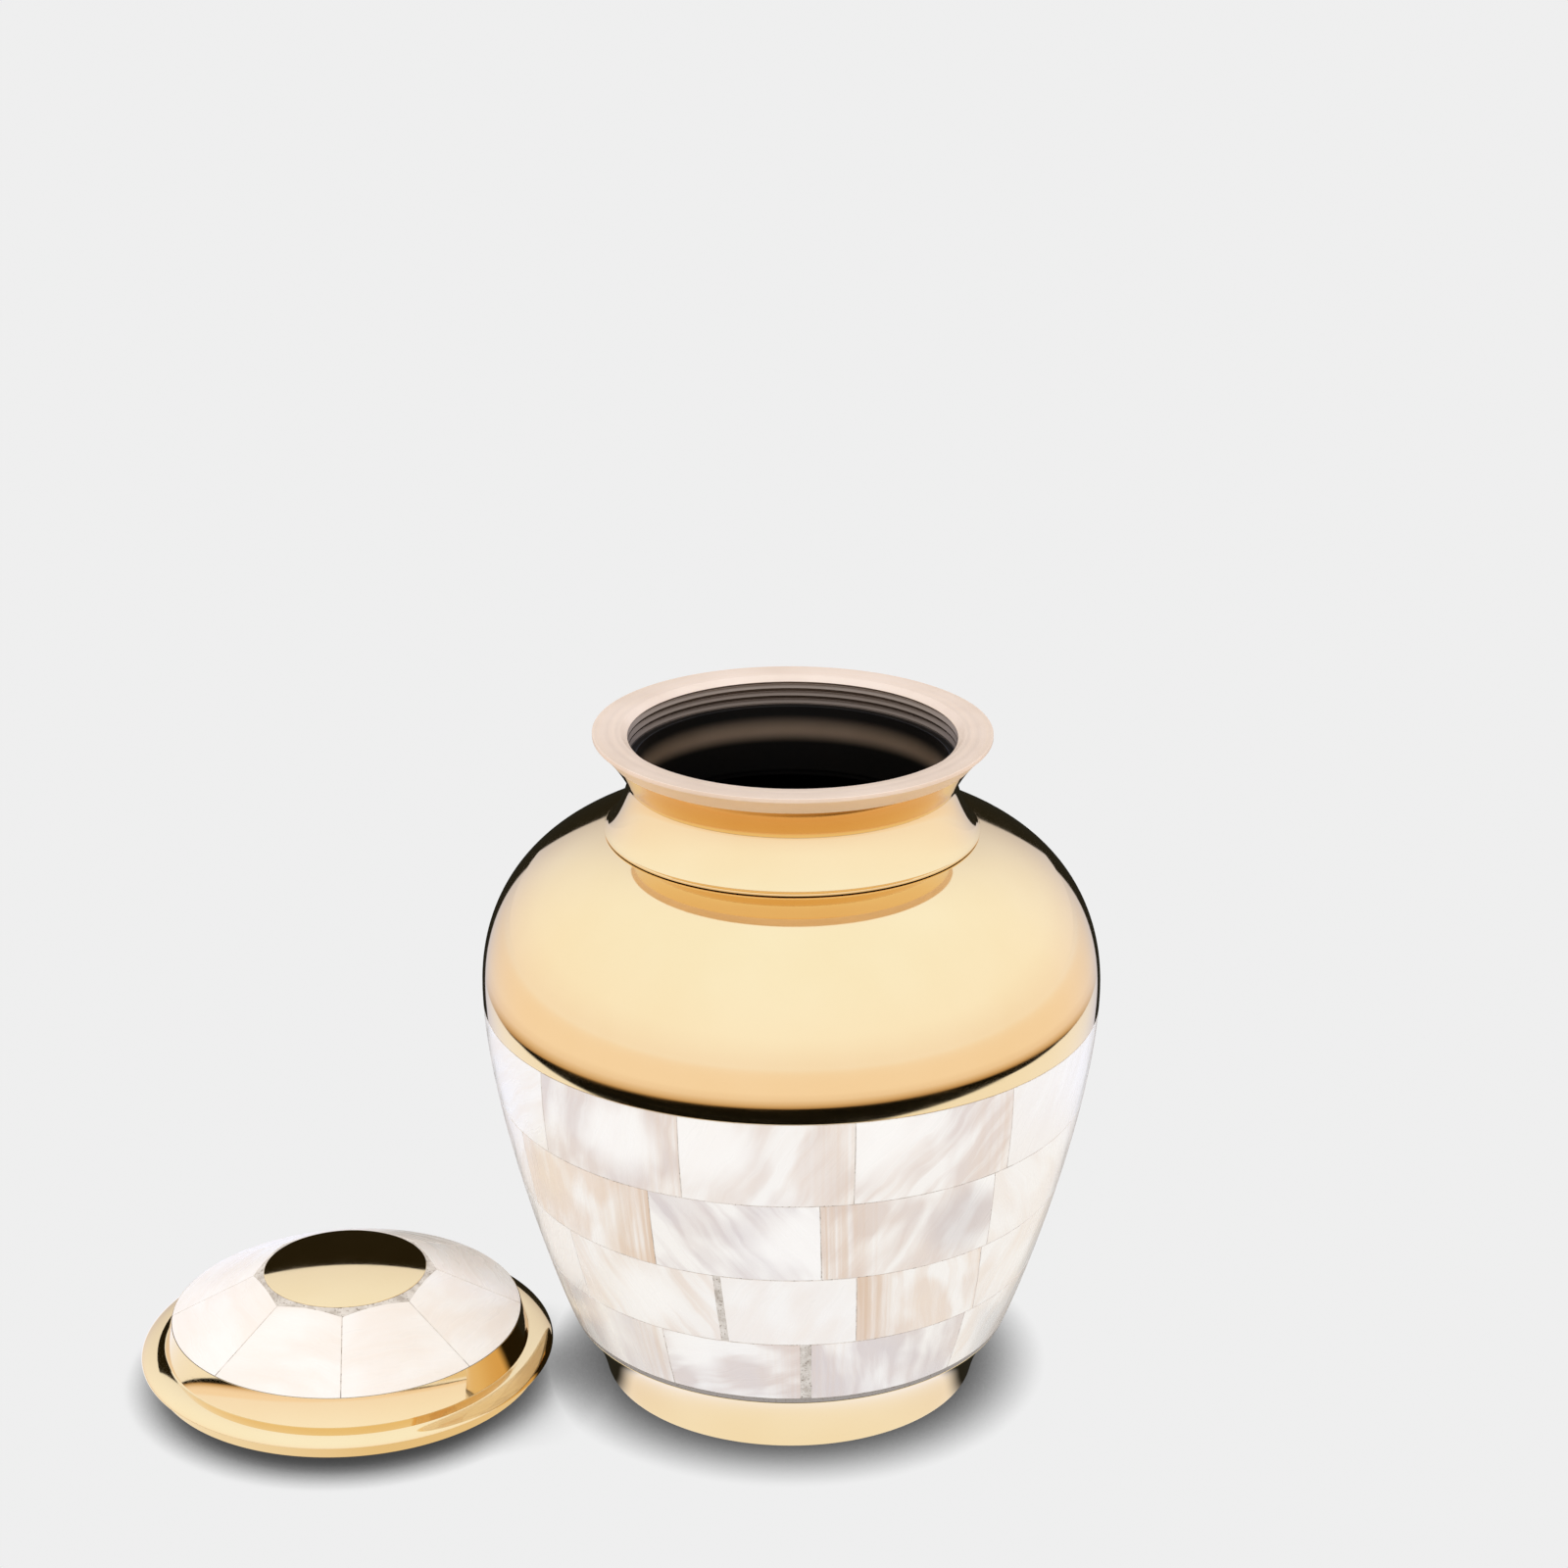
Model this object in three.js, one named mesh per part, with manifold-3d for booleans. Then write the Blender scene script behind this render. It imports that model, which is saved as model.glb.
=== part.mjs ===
// A cremation urn of polished brass with a mother-of-pearl mosaic round its belly, standing open,
// and its screw-on lid lying beside it.
// Millimetres, +Z up, -Y towards the front, origin in the middle of the urn's underside.

import * as THREE from 'three';
import { mergeVertices } from 'three/addons/utils/BufferGeometryUtils.js';
import Module from 'manifold-3d';

const wasm = await Module();
wasm.setup();

// Fineness of the facets, and the gap kept between pieces that touch.
const SEGMENTS = 36;
const GAP = 0.3;

// Urn: the outline from the foot to the widest place and over the shoulder to the neck opening.
const FOOT_RADIUS = 56.6;
const FOOT_TOP_RADIUS = 66.9;
const FOOT_TOP = 20.3;
const MAX_RADIUS = 92;
const MAX_RADIUS_HEIGHT = 127.4;
const NECK_OPENING_RADIUS = 47.7;
const SHOULDER_TOP = 175.5;
const FLOOR_THICKNESS = 2.2;
const FOOT_WALL = 2.6;
const SHOULDER_WALL = 1.9;
const RECESS_WALL = 1.4;

// The points, (radius, height), that pull the outline's Bezier curves into shape.
const FOOT_PULL = [59.4, 12.2];
const BELLY_PULLS = [[72.2, 32], [MAX_RADIUS, 91.4]];
const SHOULDER_PULLS = [[MAX_RADIUS, 158.7], [68.7, 175]];
const BELL_PULLS = [[52.8, 175.7], [48.5, 186.2]];
const CAVETTO_PULLS = [[48.2, 190.3], [52.1, 198.3]];

// Where the shoulder's inner face ends and the belly's begins, as a share of the shoulder's curve.
const INNER_SHOULDER_START = 0.25;

// Mosaic: tiles on a bed of grout in a recess, four courses, the joints as azimuths in degrees
// counted from the front towards +X. The joints that are not listed are spaced evenly.
const TILE_THICKNESS = 1.4;
const GROUT_THICKNESS = 0.5;
const RECESS_DEPTH = TILE_THICKNESS + GAP + GROUT_THICKNESS + GAP;
const JOINT_WIDTH = 0.4;
const GROUT_LINE_TOP = 22.2;
const TILES_PER_COURSE = 11;
const COURSES = [
  { top: 122.2, bottom: 95.3, rows: 2, joints: [-51.8, -20.0, 11.5, 43.8] },
  { top: 95.3, bottom: 69.0, rows: 1, joints: [-62.4, -27.1, 5.9, 42.1] },
  { top: 69.0, bottom: 44.4, rows: 1, joints: [-51.0, -14.3, 13.9, 43.6] },
  { top: 44.4, bottom: GROUT_LINE_TOP + GAP, rows: 1, joints: [-29.4, 3.8, 42.5] },
];

// Collar: a bell seated on the shoulder, a short neck, and a flat rim with a thread inside.
const BELL_RADIUS = 55.3;
const BELL_EDGE_HEIGHT = 0.7;
const NECK_RADIUS = 48.3;
const NECK_HEIGHT = 189.6;
const RIM_RADIUS = 58.4;
const RIM_UNDERSIDE = 203.9;
const RIM_TOP = 205.1;
const RIM_INNER_RADIUS = 50.1;
const CHAMFER_RADIUS = 48.1;
const CHAMFER_BOTTOM = 203.5;
const THREAD_PITCH = 2.35;
const THREAD_TURNS = 3;
const THREAD_DEPTH = 1.1;
const THREAD_ROOT = 0.35 * THREAD_PITCH;
const THREAD_CREST = 0.85 * THREAD_PITCH;
const BORE_RADIUS = 46;

// Lid: heights are above the surface that its threaded spigot stands on.
const LID_PLACE = new THREE.Vector3(-135.1, -15, 0);
const SPIGOT_RADIUS = 48;
const SPIGOT_INNER_RADIUS = 45.5;
const SPIGOT_HEIGHT = 5.6;
const SPIGOT_THREAD_DEPTH = 1;
const SPIGOT_CRESTS = [0.2 * SPIGOT_HEIGHT, 0.7 * SPIGOT_HEIGHT];
const SEAT_RADIUS = 59;
const SEAT_TOP = 8.8;
const SEAT_THICKNESS = 2.4;
const FLANGE_RADIUS = 62.6;
const FLANGE_EDGE_HEIGHT = 10.4;
const CREASE_RADIUS = 55.1;
const CREASE_HEIGHT = 13.2;
const LID_MOSAIC_RADIUS = 53;
const LID_MOSAIC_HEIGHT = 21.7;
const DISC_RADIUS = 24.6;
const DISC_HEIGHT = 36;
const DISC_RISE = 1.6;
const LID_TILE_CHORD = 25.7;
const LID_WALL = 1.5;
const LID_TILES = 8;
const LID_JOINT_AZIMUTH = 5;
const LID_TILE_CORNER = LID_TILE_CHORD / Math.cos(Math.PI / LID_TILES);

const brass = new THREE.MeshStandardMaterial({ color: 0xe6c88a, metalness: 1, roughness: 0.12 });
const satinBrass = new THREE.MeshStandardMaterial({ color: 0xdcc3a0, metalness: 1, roughness: 0.35 });
const pearl = new THREE.MeshStandardMaterial({ color: 0xf4efe8, metalness: 0, roughness: 0.2 });
const grout = new THREE.MeshStandardMaterial({ color: 0xb9b2aa, metalness: 0, roughness: 0.9 });

const at = (radius, height) => new THREE.Vector2(radius, height);

// Curves of the outlines, each running upwards.
const footCurve = new THREE.QuadraticBezierCurve(
  at(FOOT_RADIUS, 0),
  at(...FOOT_PULL),
  at(FOOT_TOP_RADIUS, FOOT_TOP),
);
const bellyCurve = new THREE.CubicBezierCurve(
  at(FOOT_TOP_RADIUS, FOOT_TOP),
  at(...BELLY_PULLS[0]),
  at(...BELLY_PULLS[1]),
  at(MAX_RADIUS, MAX_RADIUS_HEIGHT),
);
const shoulderCurve = new THREE.CubicBezierCurve(
  at(MAX_RADIUS, MAX_RADIUS_HEIGHT),
  at(...SHOULDER_PULLS[0]),
  at(...SHOULDER_PULLS[1]),
  at(NECK_OPENING_RADIUS, SHOULDER_TOP),
);
const cavettoCurve = new THREE.CubicBezierCurve(
  at(NECK_RADIUS, NECK_HEIGHT),
  at(...CAVETTO_PULLS[0]),
  at(...CAVETTO_PULLS[1]),
  at(RIM_RADIUS, RIM_UNDERSIDE),
);

// The place along a curve where a measure that grows along it reaches a value.
function placeWhere(curve, measure, value) {
  let low = 0;
  let high = 1;
  for (let halving = 0; halving < 40; halving += 1) {
    const middle = (low + high) / 2;
    if (measure(curve.getPoint(middle)) < value) {
      low = middle;
    } else {
      high = middle;
    }
  }
  return (low + high) / 2;
}

const bellyPlace = (height) => placeWhere(bellyCurve, (point) => point.y, height);
const shoulderPlace = (radius) => placeWhere(shoulderCurve, (point) => -point.x, -radius);

// The point of a rising curve at a place, moved into the wall by a depth.
function inward(curve, place, depth) {
  const along = curve.getTangent(place);
  const outwards = at(along.y, -along.x);
  return curve.getPoint(place).addScaledVector(outwards, -depth);
}

// Points at several places of a curve, all at one depth.
function row(curve, places, depth = 0) {
  return places.map((place) => inward(curve, place, depth));
}

// Evenly spaced numbers from one to the other, both included.
function steps(from, to, count) {
  return Array.from({ length: count + 1 }, (_, i) => from + ((to - from) * i) / count);
}

// One closed mesh whose shared corners are merged and whose empty triangles at the axis are gone.
function closed(geometry) {
  geometry.deleteAttribute('normal');
  geometry.deleteAttribute('uv');
  const merged = mergeVertices(geometry, 1e-4);
  const index = merged.index.array;
  const kept = [];
  for (let i = 0; i < index.length; i += 3) {
    const [a, b, c] = [index[i], index[i + 1], index[i + 2]];
    if (a !== b && b !== c && c !== a) {
      kept.push(a, b, c);
    }
  }
  merged.setIndex(kept);
  return merged;
}

// A body turned about Z. Its section runs anticlockwise: out, up the outside and down the inside.
function turned(section) {
  const startsOnAxis = section[0].x === 0;
  const outline = startsOnAxis ? section : [...section, section[0].clone()];
  const lathe = new THREE.LatheGeometry(outline, SEGMENTS);
  lathe.rotateX(Math.PI / 2);
  return closed(lathe);
}

function toManifold(geometry) {
  return new wasm.Manifold(new wasm.Mesh({
    numProp: 3,
    vertProperties: new Float32Array(geometry.attributes.position.array),
    triVerts: new Uint32Array(geometry.index.array),
  }));
}

function fromManifold(solid) {
  const mesh = solid.getMesh();
  const geometry = new THREE.BufferGeometry();
  geometry.setAttribute('position', new THREE.BufferAttribute(mesh.vertProperties, 3));
  geometry.setIndex(new THREE.BufferAttribute(mesh.triVerts, 1));
  return geometry;
}

// A tall wedge between two azimuths in degrees, less half a joint on each side, its inner end cut
// straight across at a distance from the axis.
function wedge(from, to, innerEnd) {
  const half = THREE.MathUtils.degToRad((to - from) / 2);
  const middle = THREE.MathUtils.degToRad((to + from) / 2);
  const apex = JOINT_WIDTH / 2 / Math.sin(half);
  const outerEnd = 1.5 * MAX_RADIUS;
  const innerHalf = (innerEnd - apex) * Math.tan(half);
  const outerHalf = (outerEnd - apex) * Math.tan(half);
  const corners = [
    at(innerEnd, -innerHalf),
    at(outerEnd, -outerHalf),
    at(outerEnd, outerHalf),
    at(innerEnd, innerHalf),
  ];
  const plan = new THREE.Shape(corners);
  const prism = new THREE.ExtrudeGeometry(plan, { depth: RIM_TOP, bevelEnabled: false });
  prism.rotateZ(middle - Math.PI / 2);
  return closed(prism);
}

// Tiles cut from one ring at a list of azimuths, each with its inner end at a distance from the axis.
function tilesFromRing(ring, azimuths, innerEnd) {
  const ringSolid = toManifold(ring);
  return azimuths.map((azimuth, i) => {
    const next = i + 1 < azimuths.length ? azimuths[i + 1] : azimuths[0] + 360;
    return fromManifold(ringSolid.intersect(toManifold(wedge(azimuth, next, innerEnd))));
  });
}

function piece(name, geometry, material) {
  const mesh = new THREE.Mesh(geometry, material);
  mesh.name = name;
  return mesh;
}

const mosaicTop = bellyPlace(COURSES[0].top);
const courseBorders = COURSES.slice(1).map((course) => bellyPlace(course.top));
const topCourseMiddle = bellyPlace((COURSES[0].top + COURSES[0].bottom) / 2);
const bedPlaces = [...courseBorders.toReversed(), topCourseMiddle];

// The brass vessel: foot, recess for the mosaic and shoulder outside, shoulder, belly and floor inside.
function urnBody() {
  const bellyWall = RECESS_DEPTH + RECESS_WALL;
  const section = [
    at(0, 0),
    ...row(footCurve, steps(0, 1, 3)),
    ...row(bellyCurve, [0, ...bedPlaces, mosaicTop], RECESS_DEPTH),
    ...row(bellyCurve, [mosaicTop, 1]),
    ...row(shoulderCurve, steps(0, 1, 7).slice(1)),
    ...row(shoulderCurve, steps(1, INNER_SHOULDER_START, 4), SHOULDER_WALL),
    ...row(bellyCurve, [mosaicTop, ...bedPlaces.toReversed()], bellyWall),
    inward(bellyCurve, 0, bellyWall),
    at(FOOT_RADIUS - FOOT_WALL, FLOOR_THICKNESS),
    at(0, FLOOR_THICKNESS),
  ];
  return turned(section);
}

// The collar: seat on the shoulder, bell, neck, rim, chamfer, thread and bore.
function neckCollar() {
  const seat = inward(shoulderCurve, shoulderPlace(BELL_RADIUS), -GAP);
  const bellFoot = at(BELL_RADIUS, seat.y);
  const bellEdge = at(BELL_RADIUS, seat.y + BELL_EDGE_HEIGHT);
  const bell = new THREE.CubicBezierCurve(
    bellEdge,
    at(...BELL_PULLS[0]),
    at(...BELL_PULLS[1]),
    at(NECK_RADIUS, NECK_HEIGHT),
  );
  const thread = [];
  for (let turn = 0; turn < THREAD_TURNS; turn += 1) {
    const start = CHAMFER_BOTTOM - turn * THREAD_PITCH;
    thread.push(at(CHAMFER_RADIUS + THREAD_DEPTH, start - THREAD_ROOT));
    thread.push(at(CHAMFER_RADIUS, start - THREAD_CREST));
  }
  const threadEnd = CHAMFER_BOTTOM - THREAD_TURNS * THREAD_PITCH;
  const section = [
    at(BORE_RADIUS, SHOULDER_TOP + GAP),
    at(NECK_OPENING_RADIUS, SHOULDER_TOP + GAP),
    bellFoot,
    ...bell.getPoints(4),
    ...cavettoCurve.getPoints(5).slice(1),
    at(RIM_RADIUS, RIM_TOP),
    at(RIM_INNER_RADIUS, RIM_TOP),
    at(CHAMFER_RADIUS, CHAMFER_BOTTOM),
    ...thread,
    at(BORE_RADIUS, threadEnd),
  ];
  return turned(section);
}

// The grout: a bed behind the tiles that comes to the surface as a line below the lowest course.
function bodyGrout() {
  const face = TILE_THICKNESS + GAP;
  const back = face + GROUT_THICKNESS;
  const lineBottom = bellyPlace(FOOT_TOP + GAP);
  const lineTop = bellyPlace(GROUT_LINE_TOP);
  const bedTop = bellyPlace(COURSES[0].top - GAP);
  const section = [
    ...row(bellyCurve, [lineBottom, lineTop]),
    ...row(bellyCurve, [lineTop, ...bedPlaces, bedTop], face),
    ...row(bellyCurve, [bedTop, ...bedPlaces.toReversed(), lineBottom], back),
  ];
  return turned(section);
}

// The listed joints of a course, and the rest spaced evenly round the back.
function courseAzimuths(joints) {
  const last = joints[joints.length - 1];
  const unlisted = TILES_PER_COURSE - joints.length;
  return [...joints, ...steps(last, joints[0] + 360, unlisted + 1).slice(1, -1)];
}

function courseTiles(course) {
  const top = bellyPlace(course.top - (course.top === COURSES[0].top ? GAP : JOINT_WIDTH / 2));
  const bottom = bellyPlace(course.bottom + JOINT_WIDTH / 2);
  const places = course.rows === 2 ? [bottom, topCourseMiddle, top] : [bottom, top];
  const section = [
    ...row(bellyCurve, places),
    ...row(bellyCurve, places.toReversed(), TILE_THICKNESS),
  ];
  return tilesFromRing(turned(section), courseAzimuths(course.joints), FOOT_RADIUS);
}

// Points on the lid's sloping face at a radius, moved into the lid by a depth.
const slopeAlong = at(DISC_RADIUS - LID_MOSAIC_RADIUS, DISC_HEIGHT - LID_MOSAIC_HEIGHT).normalize();
const slopeOutwards = at(slopeAlong.y, -slopeAlong.x);
function onSlope(radius, depth = 0) {
  const run = (radius - LID_MOSAIC_RADIUS) / slopeAlong.x;
  const face = at(LID_MOSAIC_RADIUS, LID_MOSAIC_HEIGHT).addScaledVector(slopeAlong, run);
  return face.addScaledVector(slopeOutwards, -depth);
}

// The brass lid: threaded spigot, seat ring, flange, steep wall, recess, domed centre, hollow inside.
function lidShell() {
  const wallDepth = RECESS_DEPTH + LID_WALL;
  const ovolo = new THREE.EllipseCurve(
    CREASE_RADIUS,
    FLANGE_EDGE_HEIGHT,
    FLANGE_RADIUS - CREASE_RADIUS,
    CREASE_HEIGHT - FLANGE_EDGE_HEIGHT,
    0,
    Math.PI / 2,
  );
  const domeRadius = (DISC_RADIUS ** 2 + DISC_RISE ** 2) / (2 * DISC_RISE);
  const dome = steps(DISC_RADIUS, 0, 3).map((radius) => {
    const height = DISC_HEIGHT + DISC_RISE - domeRadius + Math.sqrt(domeRadius ** 2 - radius ** 2);
    return at(radius, height);
  });
  const threadDip = SPIGOT_RADIUS - SPIGOT_THREAD_DEPTH;
  const outside = [
    at(SPIGOT_INNER_RADIUS, 0),
    at(threadDip, 0),
    at(SPIGOT_RADIUS, SPIGOT_CRESTS[0]),
    at(threadDip, (SPIGOT_CRESTS[0] + SPIGOT_CRESTS[1]) / 2),
    at(SPIGOT_RADIUS, SPIGOT_CRESTS[1]),
    at(threadDip, SPIGOT_HEIGHT),
    at(SEAT_RADIUS, SPIGOT_HEIGHT),
    at(SEAT_RADIUS, SEAT_TOP),
    ...ovolo.getPoints(4),
    at(LID_MOSAIC_RADIUS, LID_MOSAIC_HEIGHT),
    onSlope(LID_MOSAIC_RADIUS, RECESS_DEPTH),
    onSlope(DISC_RADIUS, RECESS_DEPTH),
    ...dome,
  ];
  const innerSlopeTop = onSlope(DISC_RADIUS, wallDepth);
  const innerSlopeFoot = onSlope(LID_MOSAIC_RADIUS, wallDepth);
  const inside = [
    at(0, innerSlopeTop.y + DISC_RISE),
    innerSlopeTop,
    innerSlopeFoot,
    at(CREASE_RADIUS - LID_WALL - GAP, SPIGOT_HEIGHT + SEAT_THICKNESS),
    at(SPIGOT_INNER_RADIUS, SPIGOT_HEIGHT + SEAT_THICKNESS),
  ];
  return turned([...outside, ...inside]);
}

// A ring that follows the lid's slope between two radii and two depths.
function slopeRing(inner, outer, face, back) {
  return turned([onSlope(inner, back), onSlope(outer, back), onSlope(outer, face), onSlope(inner, face)]);
}

// An upright prism whose sides face the lid's tiles, at a distance from the axis.
function tileSidedPrism(distance) {
  const corner = distance / Math.cos(Math.PI / LID_TILES);
  const prism = new THREE.CylinderGeometry(corner, corner, RIM_TOP, LID_TILES);
  prism.rotateX(Math.PI / 2);
  prism.rotateZ(THREE.MathUtils.degToRad(LID_JOINT_AZIMUTH));
  return closed(prism);
}

// The lid's grout: a bed under the tiles that shows between the domed centre and their straight ends.
function lidGrout() {
  const face = TILE_THICKNESS + GAP;
  const back = face + GROUT_THICKNESS;
  const inner = DISC_RADIUS + GAP;
  const bed = toManifold(slopeRing(inner, LID_MOSAIC_RADIUS - GAP, face, back));
  const ring = toManifold(slopeRing(inner, LID_TILE_CORNER, 0, back));
  const shownRing = ring.intersect(toManifold(tileSidedPrism(LID_TILE_CHORD - GAP)));
  return fromManifold(bed.add(shownRing));
}

function lidTiles() {
  const ring = slopeRing(DISC_RADIUS, LID_MOSAIC_RADIUS - GAP, 0, TILE_THICKNESS);
  const azimuths = steps(LID_JOINT_AZIMUTH, LID_JOINT_AZIMUTH + 360, LID_TILES).slice(0, LID_TILES);
  return tilesFromRing(ring, azimuths, LID_TILE_CHORD);
}

const urn = new THREE.Group();
urn.add(piece('urn_body', urnBody(), brass));
urn.add(piece('neck_collar', neckCollar(), satinBrass));
urn.add(piece('body_grout', bodyGrout(), grout));
COURSES.forEach((course, c) => {
  courseTiles(course).forEach((geometry, i) => {
    const number = String(i + 1).padStart(2, '0');
    urn.add(piece(`tile_c${c + 1}_${number}`, geometry, pearl));
  });
});

const lid = new THREE.Group();
lid.position.copy(LID_PLACE);
lid.add(piece('lid_shell', lidShell(), brass));
lid.add(piece('lid_grout', lidGrout(), grout));
lidTiles().forEach((geometry, i) => {
  lid.add(piece(`lid_tile_${i + 1}`, geometry, pearl));
});

const object = new THREE.Group();
object.add(urn, lid);

export default object;
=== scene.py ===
"""An open cremation urn of polished brass with a mother-of-pearl mosaic, its screw lid beside it."""

import math

import bmesh
import bpy
from mathutils import Matrix, Vector, noise


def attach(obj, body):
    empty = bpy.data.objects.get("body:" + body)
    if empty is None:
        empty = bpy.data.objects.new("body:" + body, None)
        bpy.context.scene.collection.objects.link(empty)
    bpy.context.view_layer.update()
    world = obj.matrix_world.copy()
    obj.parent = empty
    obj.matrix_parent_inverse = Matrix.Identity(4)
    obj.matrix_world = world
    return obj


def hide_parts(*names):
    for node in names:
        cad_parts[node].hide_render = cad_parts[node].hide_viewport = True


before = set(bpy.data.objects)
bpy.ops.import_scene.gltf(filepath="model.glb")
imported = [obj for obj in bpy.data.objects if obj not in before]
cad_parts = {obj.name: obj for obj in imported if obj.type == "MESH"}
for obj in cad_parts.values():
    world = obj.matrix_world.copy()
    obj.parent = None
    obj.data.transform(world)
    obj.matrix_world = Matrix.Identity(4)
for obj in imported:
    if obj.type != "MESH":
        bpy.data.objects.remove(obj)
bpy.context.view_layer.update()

MM = 0.001

# How finely the meshes are made: steps round the axis, and rows along each stretch of an outline.
ROUND_STEPS = 240
FOOT_ROWS = 12
RECESS_ROWS = 20
BORDER_ROWS = 8
SHOULDER_ROWS = 48
INNER_SHOULDER_ROWS = 24
BELL_ROWS = 32
CAVETTO_ROWS = 28
LIP_ROWS = 8
GROUT_LINE_ROWS = 3
BED_FACE_ROWS = 40
BED_BACK_ROWS = 30
FLANGE_ROWS = 16
DISC_ROWS = 16
TILE_STEPS = 24
TILE_ROWS = 12

# How far corners merge and edges are rounded, in mm, and from what angle an edge counts, in degrees.
TURNED_MERGE = 0.004
TILE_MERGE = 0.001
TURNED_EDGE = 0.15
TILE_EDGE = 0.08
LID_BED_EDGE = 0.05
EDGE_SEGMENTS = 2
ROUNDED_ANGLE = 35
SHARP_ANGLE = 20

# The camera of the photograph: place in metres, angles in degrees, lens and sensor in mm.
CAMERA_PLACE = (0, -0.94311, 0.53571)
CAMERA_PITCH = 20.2355
CAMERA_YAW = -0.149
CAMERA_ROLL = 0.2716
LENS = 78.83
SENSOR_WIDTH = 36
CLIP_RANGE = (0.01, 100)

# The floor that the camera sees, in metres: the reach of the soft shadow round the lid and round the urn,
# where across the floor the one gives way to the other, and the floor's light by how open it lies.
SHADOW_REACH = (0.012, 0.022)
SHADOW_CHANGE = (-0.09, -0.06)
SHADOW_LIGHT = [(0.0, 0.02), (0.3, 0.10), (0.5, 0.28), (0.75, 0.62), (0.92, 0.82), (1.0, 0.862)]
SHADOW_SAMPLES = 12
STAGE_HALF_WIDTH = 8

# What brass mirrors, under a tint of its own, in metres. On the floor: a bright round table, black past
# its edge, rings of warm floor beyond as (radius, colour), a painted shadow of darker gold beside the foot,
# and a dark aisle that leads back and widens. At the back of the room a dark arch, by the tangents of half
# its width and of its height.
# Behind the lid a black card, as (left, right, front, back, height). A pair of numbers is where a change
# starts and where it ends.
MIRRORED_LIGHT = (1.138, 1.30, 1.75)
DARK = (0.018, 0.015, 0.008)
DIM = (0.6, 0.55, 0.51)
TABLE_CENTRE = (0.02, 0.056)
TABLE_RADIUS = 0.338
TABLE_EDGE = (0.003, -0.002)
TABLE_TONE = (0.94, 0.91, 0.87)
RINGS_CENTRE = (0.02, 0.0)
RINGS_SPAN = 0.52
RINGS = [
    (0.0, (0.006, 0.005, 0.003)),
    (0.354, (0.006, 0.005, 0.003)),
    (0.364, (0.5, 0.3, 0.13)),
    (0.385, (0.72, 0.52, 0.33)),
    (0.42, (0.88, 0.71, 0.57)),
    (0.5, (0.95, 0.80, 0.67)),
]
HORIZON_REACH = (0.5, 3.0)
HORIZON_TONE = (0.965, 0.895, 0.855)
FOOT_SHADOW_TONE = (0.82, 0.66, 0.42)
FOOT_SHADOW_SIDES = (0.03, 0.07)
FOOT_SHADOW_REACH = (0.24, 0.15)
DARK_AISLE = (0.09, 0.45)
AISLE_EDGE = (0.02, -0.01)
AISLE_START = (-0.03, -0.018)
AISLE_DIMMING = (0.0, 0.2)
NEARNESS = (0.1, 1.1)
ARCH_SIZE = (0.37, 0.3)
ARCH_EDGE = (1.04, 0.98)
LID_CARD = (-0.235, -0.095, 0.06, 0.21, 0.0795)
MIRRORED_FLOOR_HEIGHT = -0.0005
ROOM_TONES = [(0.0, HORIZON_TONE), (0.3, (1, 0.99, 0.98)), (1.0, (1, 1.04, 1.06))]
SOFT_LIGHT = (1.10, 1.05, 0.985, 1)

# Outlines of the turned pieces as control points of Bezier curves, (radius, height) in mm, rising.
FOOT = [(56.6, 0), (59.4, 12.2), (66.9, 20.3)]
BELLY = [(66.9, 20.3), (72.2, 32), (92, 91.4), (92, 127.4)]
SHOULDER = [(92, 127.4), (92, 158.7), (68.7, 175), (47.7, 175.5)]
BELL = [(55.3, 175.6), (52.8, 175.7), (48.5, 186.2), (48.3, 189.6)]
CAVETTO = [(48.3, 189.6), (48.2, 190.3), (52.1, 198.3), (58.4, 203.9)]
SHOULDER_WALL = 1.9
BELLY_WALL = 3.9
FLOOR_THICKNESS = 2.2
INNER_FLOOR_RADIUS = 54
INNER_SHOULDER_START = 0.05

# Rim and thread of the neck, in mm. The thread's flanks are shares of its pitch, and the satin lip starts at
# a share of the cavetto. The band, in metres, is where a painted reflection makes the bore paler.
BELL_SEAT = 174.95
NECK_OPENING_RADIUS = 47.7
RIM_RADIUS = 58.4
RIM_TOP = 205.1
RIM_INNER_RADIUS = 50.1
CHAMFER_RADIUS = 48.1
CHAMFER_BOTTOM = 203.5
THREAD_PITCH = 2.35
THREAD_TURNS = 3
THREAD_DEPTH = 1.1
THREAD_FLANKS = (0.32, 0.42, 0.82)
BORE_RADIUS = 46
BORE_BOTTOM = 175.8
BORE_ROWS = 12
BORE_ROW_TOP = 194.5
BORE_ROW_STEP = 1.5
BORE_REFLECTION_BAND = (0.1845, 0.1885, 0.1940)
LIP_START = 0.74

# The mosaic: depths below its face in mm, and the joints of each course as azimuths in degrees
# at the top and at the bottom edge, counted from the front towards +X. The rest are spaced evenly.
RECESS_DEPTH = 2.5
RECESS_TOP_GAP = 0.02
TILE_THICKNESS = 1.3
BED_DEPTH = 0.14
BED_BACK_DEPTH = 2.2
BED_TOP_GAP = 0.03
JOINT_WIDTH = 0.3
GROUT_LINE = (20.6, 22.3)
TILES_PER_COURSE = 11
COURSES = [
    {
        "top": 122.1,
        "bottom": 95.3,
        "joints": [(-50.5, -51.7), (-20.0, -20.0), (11.3, 11.6), (43.1, 44.2)],
    },
    {
        "top": 95.3,
        "bottom": 69.0,
        "joints": [(-61.9, -63.9), (-26.9, -27.4), (5.4, 6.3), (41.2, 43.4)],
    },
    {
        "top": 69.0,
        "bottom": 44.4,
        "joints": [(-50.7, -50.9), (-14.6, -14.1), (13.3, 14.7), (42.0, 45.2)],
    },
    {
        "top": 44.4,
        "bottom": 22.3,
        "joints": [(-29.1, -29.5), (3.6, 4.2), (42.8, 43.5)],
    },
]
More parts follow.
